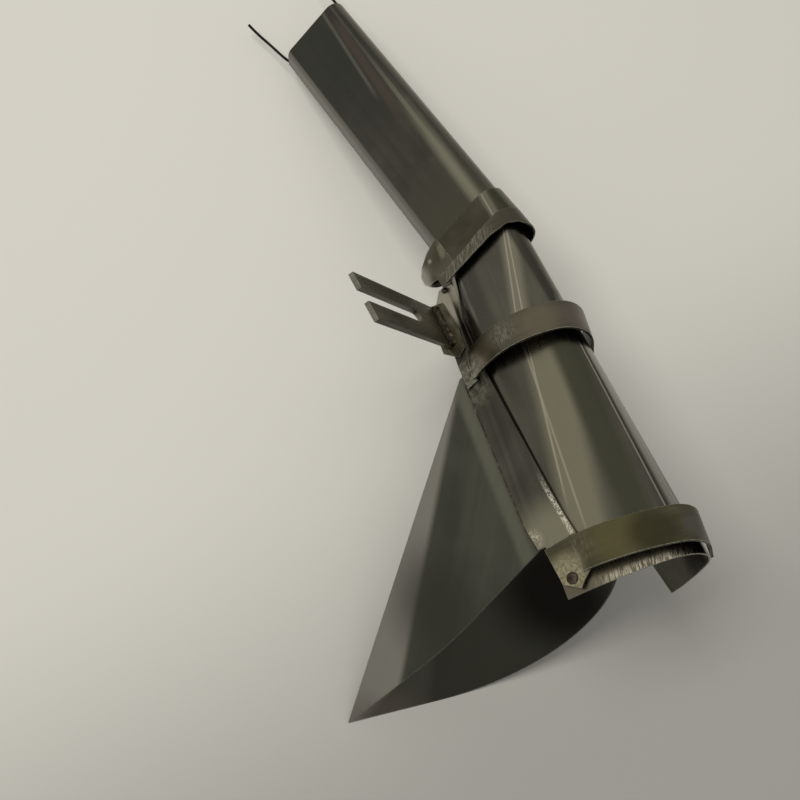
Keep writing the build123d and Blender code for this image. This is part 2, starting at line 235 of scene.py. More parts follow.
def makeSteel(name, changes):
    look = {**steelCommon, **changes}
    made = bpy.data.materials.new(name)
    tree = emptyTree(made)
    shader = addNode(tree, "ShaderNodeBsdfPrincipled")
    out = addNode(tree, "ShaderNodeOutputMaterial")
    tree.links.new(shader.outputs[0], out.inputs[0])
    place = addNode(tree, "ShaderNodeTexCoord").outputs["Object"]

    strokePlace = grainPlace(tree, look["grain"], look["lengthwise"], look["across"])
    strokes = noise(tree, strokePlace, 1.0, detail=6.0, rough=0.6)
    fine = noise(tree, strokePlace, look["fineTimes"], detail=3.0, rough=0.6)
    cloud = noise(tree, place, look["clouds"], warp=0.6)
    lines = product(tree, ease(tree, strokes, *look["strokeSpread"]), look["strokeShare"])
    stains = product(tree, ease(tree, cloud, *look["cloudSpread"]), look["cloudShare"])
    ramp = addNode(tree, "ShaderNodeValToRGB")
    stops = ramp.color_ramp.elements
    stops[0].position, stops[1].position = look["ramp"][0], look["ramp"][2]
    stops[0].color = (*look["dark"], 1)
    stops[1].color = (*look["light"], 1)
    middle = stops.new(look["ramp"][1])
    middle.color = (*look["mid"], 1)
    tree.links.new(calc(tree, "ADD", lines, stains, clamp=True), ramp.inputs[0])
    rough = ease(tree, fine, *look["strokeSpread"], *look["rough"])
    colour, rough = addMarks(tree, place, look["marks"], ramp.outputs[0], rough)

    # painted shade: the colour darkens where the metal is shut in
    shut = addNode(tree, "ShaderNodeAmbientOcclusion", samples=rayCount)
    shut.inputs["Distance"].default_value = look["hollow"]
    openness = ease(tree, shut.outputs["AO"], *look["hollowSpread"])
    dim = product(tree, calc(tree, "SUBTRACT", 1.0, openness), look["hollowShare"])
    colour = blendColour(tree, dim, colour, (*look["shutInShade"], 1))

    # painted highlight along the sheets' corners, where the edges catch the light, mixed with bare
    # bright metal where a corner has been dressed
    bevel = addNode(tree, "ShaderNodeBevel", samples=rayCount)
    bevel.inputs["Radius"].default_value = look["edge"]
    agree = addNode(tree, "ShaderNodeVectorMath", operation="DOT_PRODUCT")
    tree.links.new(bevel.outputs[0], agree.inputs[0])
    plain = addNode(tree, "ShaderNodeNewGeometry").outputs["True Normal"]
    tree.links.new(plain, agree.inputs[1])
    corner = ease(tree, agree.outputs["Value"], *look["edgeSpread"], 1.0, 0.0)
    speckle = noise(tree, place, look["edgeSpeckle"], detail=3.0)
    speckle = ease(tree, speckle, *look["speckleSpread"], look["speckleLeast"], 1.0)
    corner = product(tree, product(tree, corner, speckle), look["edgeShare"])
    colour = blendColour(tree, corner, colour, (*look["edgeColour"], 1))

    lift = addNode(tree, "ShaderNodeBump")
    lift.inputs["Strength"].default_value = look["bump"]
    lift.inputs["Distance"].default_value = look["bumpDepth"]
    tree.links.new(fine, lift.inputs["Height"])
    tree.links.new(bevel.outputs[0], lift.inputs["Normal"])
    tree.links.new(colour, shader.inputs["Base Color"])
    tree.links.new(rough, shader.inputs["Roughness"])
    tree.links.new(lift.outputs[0], shader.inputs["Normal"])
    shader.inputs["Metallic"].default_value = 1.0
    return made


def dress(node, material):
    mesh = nodes[node].data
    mesh.materials.clear()
    mesh.materials.append(material)


# the flattened tube: its web is dull, with a few long polish lines; painted highlights and painted
# reflections run along its sides
trunk = {
    "dark": (0.052, 0.050, 0.042),
    "mid": (0.066, 0.063, 0.053),
    "light": (0.088, 0.084, 0.070),
    "lengthwise": 1.2,
    "across": 140.0,
    "rough": (0.22, 0.34),
    "bump": 0.05,
    "cloudShare": 0.6,
    "marks": [
        patch(a=(5, -9, 10), half=40.0, soft=110.0, colour=(0.046, 0.048, 0.042), share=0.8),
        patch(a=(2, -9, 205), half=10.0, soft=60.0, colour=(0.082, 0.076, 0.058), share=0.8),
        # painted reflection: the margins beside the seam stand at a slope and mirror the pale
        # table, so they are painted paler
        beyond(a=(20.6, -9, 0), b=(20.6, -9, 200), out=front, soft=0.9, colour=(0.19, 0.182, 0.166),
               share=0.9),
        # painted highlights along the right corner, with a darker painted reflection band between
        # them
        streak(a=(-15.5, -8.8, 0), b=(-8, -8.8, 86), out=front, half=0.3, soft=1.6,
               colour=(0.17, 0.165, 0.14), share=0.55, within=[(trunkWay, -20, 86, 12)]),
        streak(a=(-18.6, -8.8, 20), b=(-12.5, -8.8, 110), out=front, half=1.5, soft=3.0,
               colour=(0.095, 0.076, 0.062), share=0.7, within=[(trunkWay, 15, 112, 12)]),
        streak(a=(-22.5, -8.3, 5.5), b=(-18.3, -8.8, 158.5), out=front, half=0.3, soft=1.8,
               colour=(0.25, 0.24, 0.18), share=0.75, within=[(trunkWay, 72, 300, 36)]),
        streak(a=(-22.5, -8.3, 5.5), b=(-18.3, -8.8, 158.5), out=front, half=0.3, soft=1.0,
               colour=(0.12, 0.11, 0.09), share=0.6),
        beyond(a=(28.1, -2, 0), b=(28.1, -2, 200), out=front, soft=0.3, colour=(0.03, 0.028, 0.024),
               share=0.85),
        # painted highlight on the upper part of the right corner
        streak(a=(-20.5, -8.6, 90), b=(-16.5, -8.8, 205), out=front, half=1.2, soft=5.0,
               colour=(0.26, 0.25, 0.19), share=0.75, within=[(trunkWay, 128, 260, 55)]),
        # painted reflection of the pale table along the right side
        beyond(a=(-25.6, -8.8, 200), b=(-25.6, -8.8, 0), out=front, soft=0.8,
               colour=(0.14, 0.13, 0.105), share=0.8),
    ],
}
dress("trunk_tube", makeSteel("trunkSteel", trunk))

# painted highlights and painted reflections run up the folded sheet and close in toward the trunk,
# over its polish lines
shell = {
    "grain": spineWay,
    "lengthwise": 0.8,
    "across": 95.0,
    "dark": (0.082, 0.080, 0.064),
    "mid": (0.105, 0.101, 0.082),
    "light": (0.135, 0.129, 0.105),
    "clouds": 12.0,
    "bump": 0.012,
    "rough": (0.25, 0.31),
    # painted shade: a thin dark line under the bands
    "hollow": 1.6 * mm,
    "hollowShare": 0.7,
    "marks": [
        # upper part, above the middle band: painted highlights and darker painted reflections
        streak(a=(-16.5, -9, 241), b=(2.5, -11, 279), out=(-0.15, -1, 0), half=2.0, soft=6.0,
               colour=(0.24, 0.225, 0.17), share=0.9, within=[(spineWay, 150, 283, 6)]),
        streak(a=(-15.1, -9.2, 238.6), b=(7.1, -11.3, 281.5), out=(-0.1, -1, 0), half=0.15,
               soft=0.55, colour=(0.42, 0.40, 0.33), share=0.8, within=[(spineWay, 150, 285, 4)]),
        streak(a=(-16.6, -9.0, 240.5), b=(3.9, -11, 284.6), out=(-0.1, -1, 0), half=0.15, soft=0.5,
               colour=(0.45, 0.42, 0.35), share=0.8, within=[(spineWay, 150, 285, 4)]),
        streak(a=(-18.5, -6.5, 254), b=(-13.5, -5.0, 290.5), out=(-0.7, -0.7, 0), half=1.6,
               soft=3.0, colour=(0.052, 0.050, 0.042), share=0.85,
               within=[(spineWay, 150, 300, 8)]),
        streak(a=(26.0, -12, 262), b=(33.0, -13.5, 290), out=(-0.1, -1, 0), half=5.0, soft=7.0,
               colour=(0.066, 0.066, 0.055), share=0.85, within=[(spineWay, 150, 292, 6)]),
        streak(a=(24, -11.8, 248), b=(31, -12.8, 275), out=front, half=1.0, soft=4.0,
               colour=(0.16, 0.157, 0.135), share=0.8, within=[(spineWay, 150, 284, 5)],
               strokes=(spineWay, 12.0, 260.0)),
        # lower part, down to the rim: painted highlights, darker painted reflections and a painted
        # reflection of the pale table along the right side
        streak(a=(13.1, -12.5, 324.9), b=(43.5, -18.5, 400.6), out=(-0.15, -1, 0), half=6.0,
               soft=10.0, colour=(0.235, 0.22, 0.16), share=0.92, within=[(spineWay, 288, 600, 6)]),
        streak(a=(17, -12.9, 305.2), b=(45.9, -19.3, 401.2), out=(-0.15, -1, 0), half=0.25,
               soft=0.7, colour=(0.38, 0.36, 0.28), share=0.75, within=[(spineWay, 288, 412, 14)]),
        streak(a=(14.8, -12.6, 306.4), b=(46.2, -19.0, 386), out=(-0.15, -1, 0), half=0.25,
               soft=0.6, colour=(0.42, 0.39, 0.31), share=0.75, within=[(spineWay, 288, 392, 14)]),
        streak(a=(3.7, -10.1, 343.2), b=(21, -12.4, 413.4), out=(-0.36, -0.93, 0), half=4.5,
               soft=6.5, colour=(0.064, 0.066, 0.046), share=0.93,
               within=[(spineWay, 288, 600, 6)]),
        streak(a=(36.5, -14.6, 304), b=(47, -17.3, 339.8), out=(-0.05, -1, 0), half=3.0, soft=7.0,
               colour=(0.10, 0.098, 0.078), share=0.85, within=[(spineWay, 280, 352, 22)]),
        streak(a=(-9, 3.2, 330), b=(9, 4.6, 426), out=(-1, 0, 0.17), half=2.5, soft=3.0,
               colour=(0.34, 0.33, 0.295), share=0.88, within=[(spineWay, 280, 600, 6)]),
        streak(a=(-7.7, -3, 327.1), b=(10.9, -3, 426.1), out=(-0.84, -0.5, 0.15), half=0.3,
               soft=0.45, colour=(0.36, 0.34, 0.28), share=0.85, within=[(spineWay, 280, 600, 6)]),
        streak(a=(-8.4, -1.6, 327.1), b=(10.1, -1.6, 426.1), out=(-0.84, -0.5, 0.15), half=0.35,
               soft=0.5, colour=(0.05, 0.048, 0.04), share=0.8, within=[(spineWay, 280, 600, 6)]),
        # the rim is dressed by hand with strokes across its edge
        streak(a=(66, -24, 441), b=(20, -5, 452), out=(0.2, -0.14, 0.97), half=40, soft=8.0,
               colour=(0.15, 0.132, 0.095), share=0.85, within=[(rimNormal, 436.5, 600, 3)]),
        streak(a=(66, -24, 441), b=(20, -5, 452), out=(0.2, -0.14, 0.97), half=40, soft=8.0,
               colour=(0.66, 0.62, 0.50), share=0.9,
               within=[(rimNormal, 441.5, 600, 1.6), (Vector((1, 0, 0)), 0, 58, 8)],
               strokes=(Vector((0.32, -0.25, 0.91)).normalized(), 90.0, 1100.0), rough=0.3),
        # painted shade inside the back of the shell at the rim
        patch(a=(24, 33, 457), half=7.0, soft=9.0, colour=(0.028, 0.026, 0.024), share=0.9),
    ],
}
dress("cone_shell", makeSteel("shellSteel", shell))

# the plate that shell, bands and bracket are welded to
spine = {
    "grain": spineWay,
    "lengthwise": 3.0,
    "across": 260.0,
    "dark": (0.062, 0.061, 0.049),
    "mid": (0.080, 0.078, 0.063),
    "light": (0.105, 0.10, 0.082),
    "edgeColour": (0.16, 0.15, 0.12),
    "edgeShare": 0.5,
    "edge": 0.5 * mm,
    "hollow": 5 * mm,
    "marks": [
        # bare ground metal where the lower band was fitted, and bright dressed corner
        patch(a=(66, -23.5, 407), half=8.0, soft=22.0, colour=(0.26, 0.245, 0.18), share=0.9),
        streak(a=(53.2, -21.9, 372.2), b=(56.4, -24.5, 411.3), out=(0, -1, -0.1), half=0.9,
               soft=1.0, colour=(0.80, 0.76, 0.63), share=0.95, broken=900.0,
               within=[(spineWay, 384, 600, 12)]),
        patch(a=(77.5, -22.2, 402), half=2.0, soft=6.0, colour=(0.62, 0.59, 0.48), share=0.8,
              broken=600.0),
        patch(a=(33, -9.5, 245), half=11.0, soft=12.0, colour=(0.36, 0.34, 0.28), share=0.9),
        patch(a=(56, -16, 306), half=3.0, soft=12.0, colour=(0.20, 0.19, 0.15), share=0.6,
              broken=260.0),
    ],
}
dress("spine_plate", makeSteel("spineSteel", spine))

doublerLook = {
    "dark": (0.046, 0.041, 0.028),
    "mid": (0.096, 0.086, 0.057),
    "light": (0.155, 0.141, 0.097),
    "clouds": 120.0,
    "edgeShare": 0.8,
    "edgeColour": (0.5, 0.47, 0.38),
}
dress("doubler_plate", makeSteel("doublerSteel", doublerLook))

bracket = {
    "grain": bracketWay,
    "lengthwise": 14.0,
    "across": 260.0,
    "dark": (0.16, 0.15, 0.124),
    "mid": (0.226, 0.209, 0.173),
    "light": (0.30, 0.277, 0.225),
    "edgeShare": 0.7,
    "edgeColour": (0.60, 0.58, 0.52),
    "hollow": 3 * mm,
    "marks": [
        patch(a=(49, -35, 272), half=14.0, soft=26.0, colour=(0.24, 0.215, 0.165), share=0.7),
    ],
}
dress("slotted_bracket", makeSteel("bracketSteel", bracket))

# the guide bands are brushed across, with heat marks and rubbed places, besides painted highlights
# and painted shade
bandLook = {
    "grain": spineWay,
    "lengthwise": 620.0,
    "across": 7.0,
    "dark": (0.075, 0.068, 0.050),
    "mid": (0.105, 0.095, 0.070),
    "light": (0.145, 0.132, 0.100),
    "rough": (0.28, 0.42),
    "edge": 0.55 * mm,
    # painted highlight: the bands' edges are painted bright where they catch the light
    "edgeColour": (0.72, 0.69, 0.60),
    "edgeShare": 0.95,
    "clouds": 40.0,
    "hollow": 3.2 * mm,
    "hollowShare": 0.3,
}
middleBand = {
    **bandLook,
    "marks": [
        patch(a=(21.5, -22.5, 294), half=2.0, soft=13.0, colour=(0.31, 0.297, 0.24), share=0.65,
              strokes=(spineWay, 60.0, 1500.0)),
        patch(a=(-1, -19, 302), half=6.0, soft=14.0, colour=(0.17, 0.155, 0.105), share=0.75),
        patch(a=(-17, -7, 310), half=5.0, soft=10.0, colour=(0.15, 0.126, 0.113), share=0.85),
        # painted highlight on the band's lower left
        patch(a=(37, -20.5, 292), half=5.0, soft=8.0, colour=(0.25, 0.22, 0.165), share=0.85),
        patch(a=(51, -15, 295), half=5.0, soft=7.0, colour=(0.27, 0.26, 0.20), share=0.7),
        patch(a=(51, -15, 295), half=5.0, soft=7.0, colour=(0.42, 0.40, 0.33), share=0.6,
              broken=420.0),
        patch(a=(50, -15, 294), half=6.0, soft=6.0, colour=(0.05, 0.045, 0.032), share=0.7,
              broken=170.0),
        # painted shade inside the band's lower edge at its right end
        patch(a=(-16, -2, 323), half=3.0, soft=2.0, colour=(0.012, 0.012, 0.009), share=0.9),
    ],
}
dress("collar_band_middle", makeSteel("bandMiddleSteel", middleBand))
lowerBand = {
    **bandLook,
    "dark": (0.070, 0.064, 0.040),
    "mid": (0.095, 0.086, 0.054),
    "light": (0.13, 0.12, 0.08),
    "marks": [
        patch(a=(36, -27, 430), half=9.0, soft=13.0, colour=(0.125, 0.112, 0.054), share=0.8),
        patch(a=(70, -28, 430), half=8.0, soft=8.0, colour=(0.235, 0.212, 0.135), share=0.9),
        patch(a=(72, -28, 431), half=6.0, soft=9.0, colour=(0.50, 0.46, 0.32), share=0.6,
              broken=620.0),
        patch(a=(4, -6.5, 454), half=2.0, soft=5.0, colour=(0.20, 0.19, 0.175), share=0.8),
        patch(a=(57, -28, 424), half=2.0, soft=9.0, colour=(0.25, 0.233, 0.18), share=0.45,
              strokes=(spineWay, 90.0, 600.0)),
        patch(a=(20, -22, 438), half=7.0, soft=12.0, colour=(0.048, 0.044, 0.024), share=0.85),
        patch(a=(2.5, -9, 447), half=4.0, soft=7.0, colour=(0.12, 0.108, 0.10), share=0.85),
    ],
}
dress("collar_band_lower", makeSteel("bandLowerSteel", lowerBand))

hood = {
    "grain": Vector((0.82, 0.18, 0.55)).normalized(),
    "lengthwise": 0.8,
    "across": 60.0,
    "dark": (0.062, 0.065, 0.053),
    "mid": (0.080, 0.083, 0.068),
    "light": (0.098, 0.100, 0.081),
    "clouds": 14.0,
    "bump": 0.03,
    "rough": (0.26, 0.38),
    # painted shade deep inside the hood
    "hollow": 45 * mm,
    "hollowShare": 0.8,
    "edgeColour": (0.5, 0.49, 0.45),
    "edgeShare": 0.7,
    "marks": [
        # the fold's outer strip catches the light
        beyond(a=(113.5, 2.5, 326.3), b=(220.9, 26.2, 401.4), out=(0.2, -0.98, 0.02), soft=3.0,
               colour=(0.30, 0.287, 0.255), share=0.88),
        streak(a=(84, -13, 392), b=(76, -14, 340), out=(0.37, -0.92, -0.16), half=2.0, soft=7.0,
               colour=(0.16, 0.165, 0.13), share=0.8),
        patch(a=(165, 14, 385), half=10.0, soft=45.0, colour=(0.050, 0.052, 0.043), share=0.8),
        # painted shade on the hood's inner side
        beyond(a=(0, 44, 0), b=(0, 44, 100), out=(1, 0, 0), soft=4.0, colour=(0.045, 0.045, 0.036),
               share=0.9),
        # painted shade: inside, the mouth falls into the dark behind the shell
        patch(a=(112, 72, 408), half=18.0, soft=42.0, colour=(0.008, 0.007, 0.006), share=0.92),
        patch(a=(262, 52, 409), half=8.0, soft=26.0, colour=(0.115, 0.095, 0.082), share=0.8),
    ],
}
dress("hood", makeSteel("hoodSteel", hood))
print("sheets and bars done")

# the upper band: rows and columns of points make each bent strip, then it gets its own thickness
# and rounded edges; all in millimetres, and tables give (share of the way round the trunk, value)
upperBand = {
    "webEnd": 18.8,
    "half": 8.8,
    "rows": 7,
    "columns": 96,
    "sleeveWall": 1.2,
    "lipWall": 1.3,
    "tuck": 2.0,  # how far the sleeve runs on under the lip
    "edge": 0.28,
    "top": [(0, 208.6), (0.12, 207.6), (0.30, 206.2), (0.40, 206.6), (0.50, 207.6), (0.75, 208),
            (1, 209)],
    "step": [(0, 229.0), (0.12, 228.4), (0.28, 226.0), (0.42, 225.0), (0.48, 226.0),
             (0.55, 227.8), (0.75, 228.5), (1, 230)],
    "low": [(0, 238.3), (0.12, 237.2), (0.25, 236.2), (0.38, 235.2), (0.44, 235.6),
            (0.48, 237.6), (0.54, 241.6), (0.60, 243.5), (0.75, 243), (1, 242)],
    "sleeveOut": [(0, 1.6), (1, 1.6)],
    "hemOut": [(0, 2.0), (0.4, 1.9), (0.6, 2.0), (0.75, 3.0), (1, 3.2)],
    "stepOut": [(0, 3.3), (0.36, 3.1), (0.45, 2.2), (0.55, 2.0), (0.75, 3.0), (1, 3.4)],
    "lowOut": [(0, 5.7), (0.32, 5.4), (0.42, 3.2), (0.5, 1.7), (0.56, 1.9), (0.75, 5.2),
               (1, 6.0)],
    "lipReach": (6.0, 12.0),  # how far its top and foot run on past the seam
}


def valueAt(places, share):
    for (a, x), (b, y) in zip(places, places[1:]):
        if share <= b:
            t = (share - a) / (b - a)
            t = t * t * (3 - 2 * t)
            return x + (y - x) * t
    return places[-1][1]


def roundTrunk(share, out, height, reach):
    # a point on the way along the trunk's front, round its nose and back, this far off its skin
    webEnd, half = upperBand["webEnd"], upperBand["half"] + out
    noseArc = math.pi * upperBand["half"]
    total = 4 * webEnd + noseArc
    run = share * (total + reach) - reach
    if run < 2 * webEnd:
        return Vector((webEnd - run, -half, height)) * mm
    if run < 2 * webEnd + noseArc:
        turn = (run - 2 * webEnd) / upperBand["half"]
        return Vector((-webEnd - half * math.sin(turn), -half * math.cos(turn), height)) * mm
    return Vector((-webEnd + run - 2 * webEnd - noseArc, half, height)) * mm


def bandRows(top, low, topOut, lowOut, reach=(0.0, 0.0), tuck=0.0):
    rows = []
    for k in range(upperBand["rows"]):
        t = k / (upperBand["rows"] - 1)
        row = []
        for i in range(upperBand["columns"] + 1):
            share = i / upperBand["columns"]
            height = valueAt(top, share) * (1 - t) + (valueAt(low, share) + tuck) * t
            out = valueAt(topOut, share) * (1 - t) + valueAt(lowOut, share) * t
            row.append(roundTrunk(share, out, height, reach[0] * (1 - t) + reach[1] * t))
        rows.append(row)
    return rows


def shapedMesh(made):
    # the mesh with its modifiers worked in
    depsgraph = bpy.context.evaluated_depsgraph_get()
    done = bpy.data.meshes.new_from_object(made.evaluated_get(depsgraph))
    made.modifiers.clear()
    made.data = done
    return done


def bentStrip(name, rows, wall, material, outward=True):
    shape = bmesh.new()
    grid = [[shape.verts.new(point) for point in row] for row in rows]
    for upper, lower in zip(grid, grid[1:]):
        for i in range(len(upper) - 1):
            shape.faces.new((upper[i], upper[i + 1], lower[i + 1], lower[i]))
    if not outward:
        bmesh.ops.reverse_faces(shape, faces=shape.faces)
    mesh = bpy.data.meshes.new(name)
    shape.to_mesh(mesh)
    shape.free()
    made = addObject(name, mesh)
    mesh.materials.append(material)
    thick = made.modifiers.new("wall", "SOLIDIFY")
    thick.thickness = wall * mm
    thick.offset = -1
    thick.use_even_offset = True
    edge = made.modifiers.new("edge", "BEVEL")
    edge.width = upperBand["edge"] * mm
    edge.segments = 2
    edge.limit_method = "ANGLE"
    edge.angle_limit = math.radians(50)
    for face in mesh.polygons:
        face.use_smooth = True
    shapedMesh(made)
    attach(made, "root")
    return made


sleeveLook = {
    **bandLook,
    "lengthwise": 60.0,
    "across": 60.0,
    "dark": (0.056, 0.050, 0.036),
    "mid": (0.075, 0.068, 0.050),
    "light": (0.10, 0.09, 0.068),
    "marks": [
        # painted highlights along the sleeve's right corner
        streak(a=(-21.5, -10.4, 204), b=(-18.8, -10.4, 228), out=front, half=1.2, soft=3.0,
               colour=(0.22, 0.21, 0.16), share=0.75),
        streak(a=(-21.0, -10.4, 204), b=(-17.6, -10.4, 228), out=front, half=0.15, soft=0.5,
               colour=(0.40, 0.38, 0.31), share=0.7),
        # darker painted reflection at the nose
        streak(a=(-26.2, -7, 204), b=(-25.6, -7, 228), out=(-0.6, -0.8, 0), half=1.2, soft=1.8,
               colour=(0.055, 0.060, 0.038), share=0.8),
        # painted reflection of the pale table along the right side
        beyond(a=(-28.4, -8, 240), b=(-28.4, -8, 200), out=front, soft=0.7,
               colour=(0.15, 0.145, 0.115), share=0.8),
    ],
}
sleeveSteel = makeSteel("sleeveSteel", sleeveLook)
lipLook = {
    **bandLook,
    # painted highlight: the lip's edges are painted brighter still
    "edgeColour": (0.85, 0.82, 0.73),
    "edgeShare": 1.0,
    "marks": [
        patch(a=(10, -14, 233), half=14.0, soft=13.0, colour=(0.095, 0.087, 0.064), share=0.9),
        patch(a=(10, -14, 233), half=14.0, soft=13.0, colour=(0.31, 0.293, 0.236), share=0.7,
              strokes=(Vector((0.35, -0.25, 0.9)).normalized(), 120.0, 1400.0)),
        patch(a=(-24, -11, 233), half=4.0, soft=8.0, colour=(0.085, 0.075, 0.058), share=0.8),
    ],
}
lipSteel = makeSteel("lipSteel", lipLook)
sleeveRows = bandRows(upperBand["top"], upperBand["step"], upperBand["sleeveOut"],
                      upperBand["hemOut"], tuck=upperBand["tuck"])
sleeve = bentStrip("upperSleeve", sleeveRows, upperBand["sleeveWall"], sleeveSteel)
lipRows = bandRows(upperBand["step"], upperBand["low"], upperBand["stepOut"],
                   upperBand["lowOut"], reach=upperBand["lipReach"])
lip = bentStrip("upperLip", lipRows, upperBand["lipWall"], lipSteel)
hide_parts("collar_band_upper")
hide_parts("collar_band_upper")

# the ear is the sleeve's end, rolled out into a lobe: (height, straight, radius, turn, end)
ear = {
    "rows": [
        (207.8, 0.7, 8.0, 60, 3.0),
        (209.8, 6.5, 9.0, 84, 4.5),
        (213.2, 11.8, 10.2, 110, 5.0),
        (216.4, 14.2, 10.8, 128, 5.0),
        (219.2, 14.6, 10.8, 134, 5.0),
        (221.2, 13.8, 10.6, 136, 5.0),
        (222.6, 12.6, 10.4, 138, 5.0),
    ],
    "between": 4,
    "columns": (8, 24, 3),  # over the straight, the roll and the end
    "tilt": 6.6,  # the lower edge hangs this much further down in front than at the back
    "fade": 1.25,
    "start": 19.0,
    "face": -10.4,
    "wall": 1.3,
}
earLook = {
    **bandLook,
    "lengthwise": 40.0,
    "across": 40.0,
    "clouds": 70.0,
    "dark": (0.075, 0.068, 0.050),
    "mid": (0.105, 0.096, 0.072),
    "light": (0.15, 0.138, 0.105),
    "marks": [
        # painted highlight on the rolled lobe
        patch(a=(42, -5, 220), half=5.0, soft=6.0, colour=(0.36, 0.345, 0.30), share=0.9),
        # painted shade in the hollow under the lobe
        patch(a=(35, 4.5, 221.5), half=8.5, soft=2.5, colour=(0.004, 0.004, 0.003), share=1.0),
        streak(a=(20.0, -10.4, 211), b=(23.0, -10.4, 222), out=front, half=0.8, soft=2.2,
               colour=(0.20, 0.188, 0.137), share=0.85, within=[(trunkWay, 211, 221, 2.5)]),
        # a second, smaller painted highlight on the lobe
        patch(a=(41.5, -5, 219), half=2.0, soft=5.0, colour=(0.33, 0.31, 0.26), share=0.75),
        patch(a=(31.4, -10.0, 216.0), half=1.6, soft=1.0, colour=(0.38, 0.36, 0.30), share=0.75),
        patch(a=(31.0, -10.0, 216.6), half=0.9, soft=0.5, colour=(0.008, 0.006, 0.004), share=1.0),
    ],
}
earSteel = makeSteel("earSteel", earLook)


def earRow(height, straight, radius, turn, end, hang):
    flatColumns, rollColumns, endColumns = ear["columns"]
    row = []
    for k in range(flatColumns + 1):
        x = ear["start"] + straight * k / flatColumns
        row.append(Vector((x, ear["face"], height + hang)) * mm)
    for k in range(1, rollColumns + 1):
        angle = math.radians(turn) * k / rollColumns
        x = ear["start"] + straight + radius * math.sin(angle)
        y = ear["face"] + radius * (1 - math.cos(angle))
        fade = max(0.0, math.cos(min(angle * ear["fade"], math.pi / 2)))
        row.append(Vector((x, y, height + hang * fade)) * mm)
    endWay = Vector((math.cos(angle), math.sin(angle), 0))
    tip = row[-1]
    for k in range(1, endColumns + 1):
        row.append(tip + endWay * (end * mm * k / endColumns))
    return row


earRows = []
for first, second in zip(ear["rows"], ear["rows"][1:]):
    for k in range(ear["between"]):
        earRows.append([x + (y - x) * k / ear["between"] for x, y in zip(first, second)])
earRows.append(ear["rows"][-1])
earGrid = []
for number, values in enumerate(earRows):
    earGrid.append(earRow(*values, ear["tilt"] * (number / (len(earRows) - 1)) ** 2))
earPiece = bentStrip("upperEar", earGrid, ear["wall"], earSteel, outward=False)
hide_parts("band_ear")

# a flat neck joins the lip to the ear: each row's left and right ends as (x, z)
neck = {
    "rows": [((28.6, 218.8), (21.5, 226.1)), ((34.0, 228.6), (25.5, 232.0)),
             ((34.4, 231.4), (27.0, 235.2)), ((35.0, 236.8), (29.6, 238.4))],
    "columns": 6,
    "face": -10.45,
    "wall": 1.2,
}
neckGrid = []
for (leftX, leftZ), (rightX, rightZ) in neck["rows"]:
    row = []
    for k in range(neck["columns"] + 1):
        x = leftX + (rightX - leftX) * k / neck["columns"]
        z = leftZ + (rightZ - leftZ) * k / neck["columns"]
        row.append(Vector((x, neck["face"], z)) * mm)
    neckGrid.append(row)
neckPiece = bentStrip("upperNeck", neckGrid, neck["wall"], earSteel)
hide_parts("band_ear")
print("upper band done")

rodLook = {
    "lengthwise": 40.0,
    "dark": (0.012, 0.011, 0.010),
    "mid": (0.02, 0.019, 0.017),
    "light": (0.04, 0.037, 0.033),
    "edgeShare": 0.0,
    "bump": 0.05,
}
rodSteel = makeSteel("rodSteel", rodLook)
dress("spreader_rod_right", rodSteel)

# the left rod is bowed where it leaves the trunk
leftRod = {
    "size": 2.0,
    "inside": (12, 4),  # heights it still passes straight
    "free": [(28.2, -2.2, -5), (29.9, -5.5, -22), (31.8, -10, -36), (31.7, -14.2, -43.6)],
}
rodLow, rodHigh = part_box("spreader_rod_left")
rodX, rodY = (rodLow.x + rodHigh.x) / 2, (rodLow.y + rodHigh.y) / 2
route = [Vector((rodX, rodY, rodHigh.z))]
route += [Vector((rodX, rodY, height * mm)) for height in leftRod["inside"]]
route += [Vector(point) * mm for point in leftRod["free"]]
wire = bpy.data.curves.new("bowedRod", "CURVE")
wire.dimensions = "3D"
wire.bevel_depth = leftRod["size"] / 2 * mm
wire.bevel_resolution = 5
wire.use_fill_caps = True
line = wire.splines.new("NURBS")
line.points.add(len(route) - 1)
for point, stop in zip(line.points, route):
    point.co = (*stop, 1)
line.order_u = 3
line.resolution_u = 12
line.use_endpoint_u = True
bowed = addObject("bowedRod", wire)
wire.materials.append(rodSteel)
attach(bowed, "root")
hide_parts("spreader_rod_left")

# each weld is built over the plain bead that holds its place
weldLook = {
    "dark": (0.020, 0.016, 0.012),
    "mid": (0.08, 0.066, 0.048),
    "light": (0.24, 0.21, 0.165),
    "lengthwise": 300.0,
    "across": 300.0,
    "clouds": 160.0,
    "rough": (0.3, 0.55),
    "bump": 0.5,
    "edgeShare": 0.0,
}
weldSteel = makeSteel("weldSteel", weldLook)
# voxel is the fineness, lift the height of the lumps and size their width
weldShapes = {
    "trunk_seam_weld": {"voxel": 0.22, "lift": 0.18, "size": 1.1},
    "bracket_weld_near": {"voxel": 0.22, "lift": 0.75, "size": 1.7},
    "bracket_weld_far": {"voxel": 0.22, "lift": 0.5, "size": 1.4},
    "hood_seam_weld": {"voxel": 0.24, "lift": 0.5, "size": 1.3},
    "rim_spot_weld": {"voxel": 0.16, "lift": 0.25, "size": 1.2},
    "tab_weld_middle": {"voxel": 0.18, "lift": 0.5, "size": 1.2},
    "ear_weld": {"voxel": 0.16, "lift": 0.5, "size": 1.1},
}


